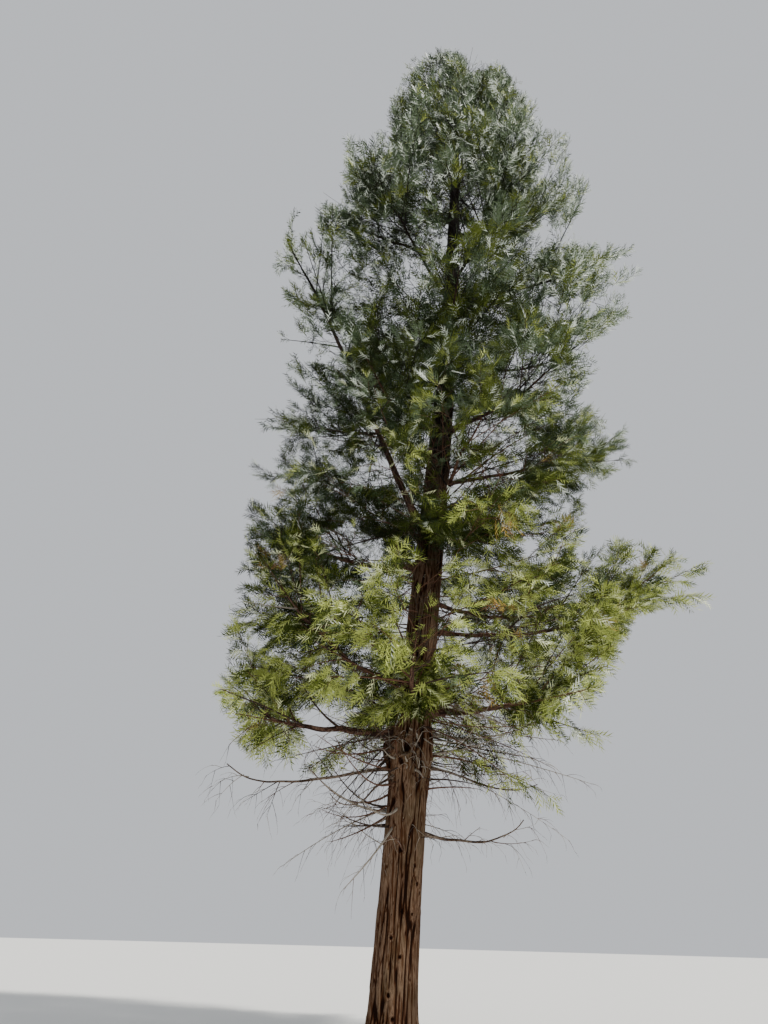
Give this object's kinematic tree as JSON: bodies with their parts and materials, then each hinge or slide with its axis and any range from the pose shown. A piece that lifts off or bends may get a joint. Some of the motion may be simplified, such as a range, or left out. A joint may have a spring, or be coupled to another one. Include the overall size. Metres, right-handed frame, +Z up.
{
  "type": "conifer tree",
  "caption": "Tall incense cedar rooted in the ground: leaning furrowed trunk with a root flare, bare lower limbs and a dense narrow crown of flat drooping sprays.",
  "frame": {"origin": "centre of the flat cut across the trunk at ground level", "axes": "+Z up the trunk, +X to the right and +Y away for a viewer who stands in front of the tree"},
  "size_m": [10.3364, 8.5978, 26.9719],
  "materials": {
    "bark": "red-brown bark in deep upright furrows",
    "branch_bark": "thin scaly brown bark",
    "dead_wood": "bare grey weathered wood",
    "foliage": "olive green flat sprays, slightly glossy"
  },
  "bodies": {
    "root": {"bare_limb_1": "dead_wood", "bare_limb_2": "dead_wood", "bare_limb_3": "dead_wood", "bare_limb_4": "dead_wood", "bare_limb_5": "dead_wood", "bough_01": "branch_bark", "bough_02": "branch_bark", "bough_03": "branch_bark", "bough_04": "branch_bark", "bough_05": "branch_bark", "bough_06": "branch_bark", "bough_07": "branch_bark", "bough_08": "branch_bark", "bough_09": "branch_bark", "bough_10": "branch_bark", "bough_11": "branch_bark", "bough_12": "branch_bark", "bough_13": "branch_bark", "bough_14": "branch_bark", "bough_15": "branch_bark", "bough_16": "branch_bark", "bough_17": "branch_bark", "bough_18": "branch_bark", "foliage_01": "foliage", "foliage_02": "foliage", "foliage_03": "foliage", "foliage_04": "foliage", "foliage_05": "foliage", "foliage_06": "foliage", "foliage_07": "foliage", "foliage_08": "foliage", "foliage_09": "foliage", "foliage_10": "foliage", "foliage_11": "foliage", "foliage_12": "foliage", "foliage_13": "foliage", "foliage_14": "foliage", "foliage_15": "foliage", "foliage_16": "foliage", "foliage_17": "foliage", "foliage_18": "foliage", "foliage_19": "foliage", "foliage_20": "foliage", "foliage_21": "foliage", "foliage_22": "foliage", "foliage_23": "foliage", "foliage_24": "foliage", "foliage_25": "foliage", "foliage_26": "foliage", "foliage_27": "foliage", "foliage_28": "foliage", "foliage_29": "foliage", "foliage_30": "foliage", "foliage_31": "foliage", "foliage_32": "foliage", "foliage_33": "foliage", "foliage_tip": "foliage", "trunk": "bark"}
  },
  "joints": []
}
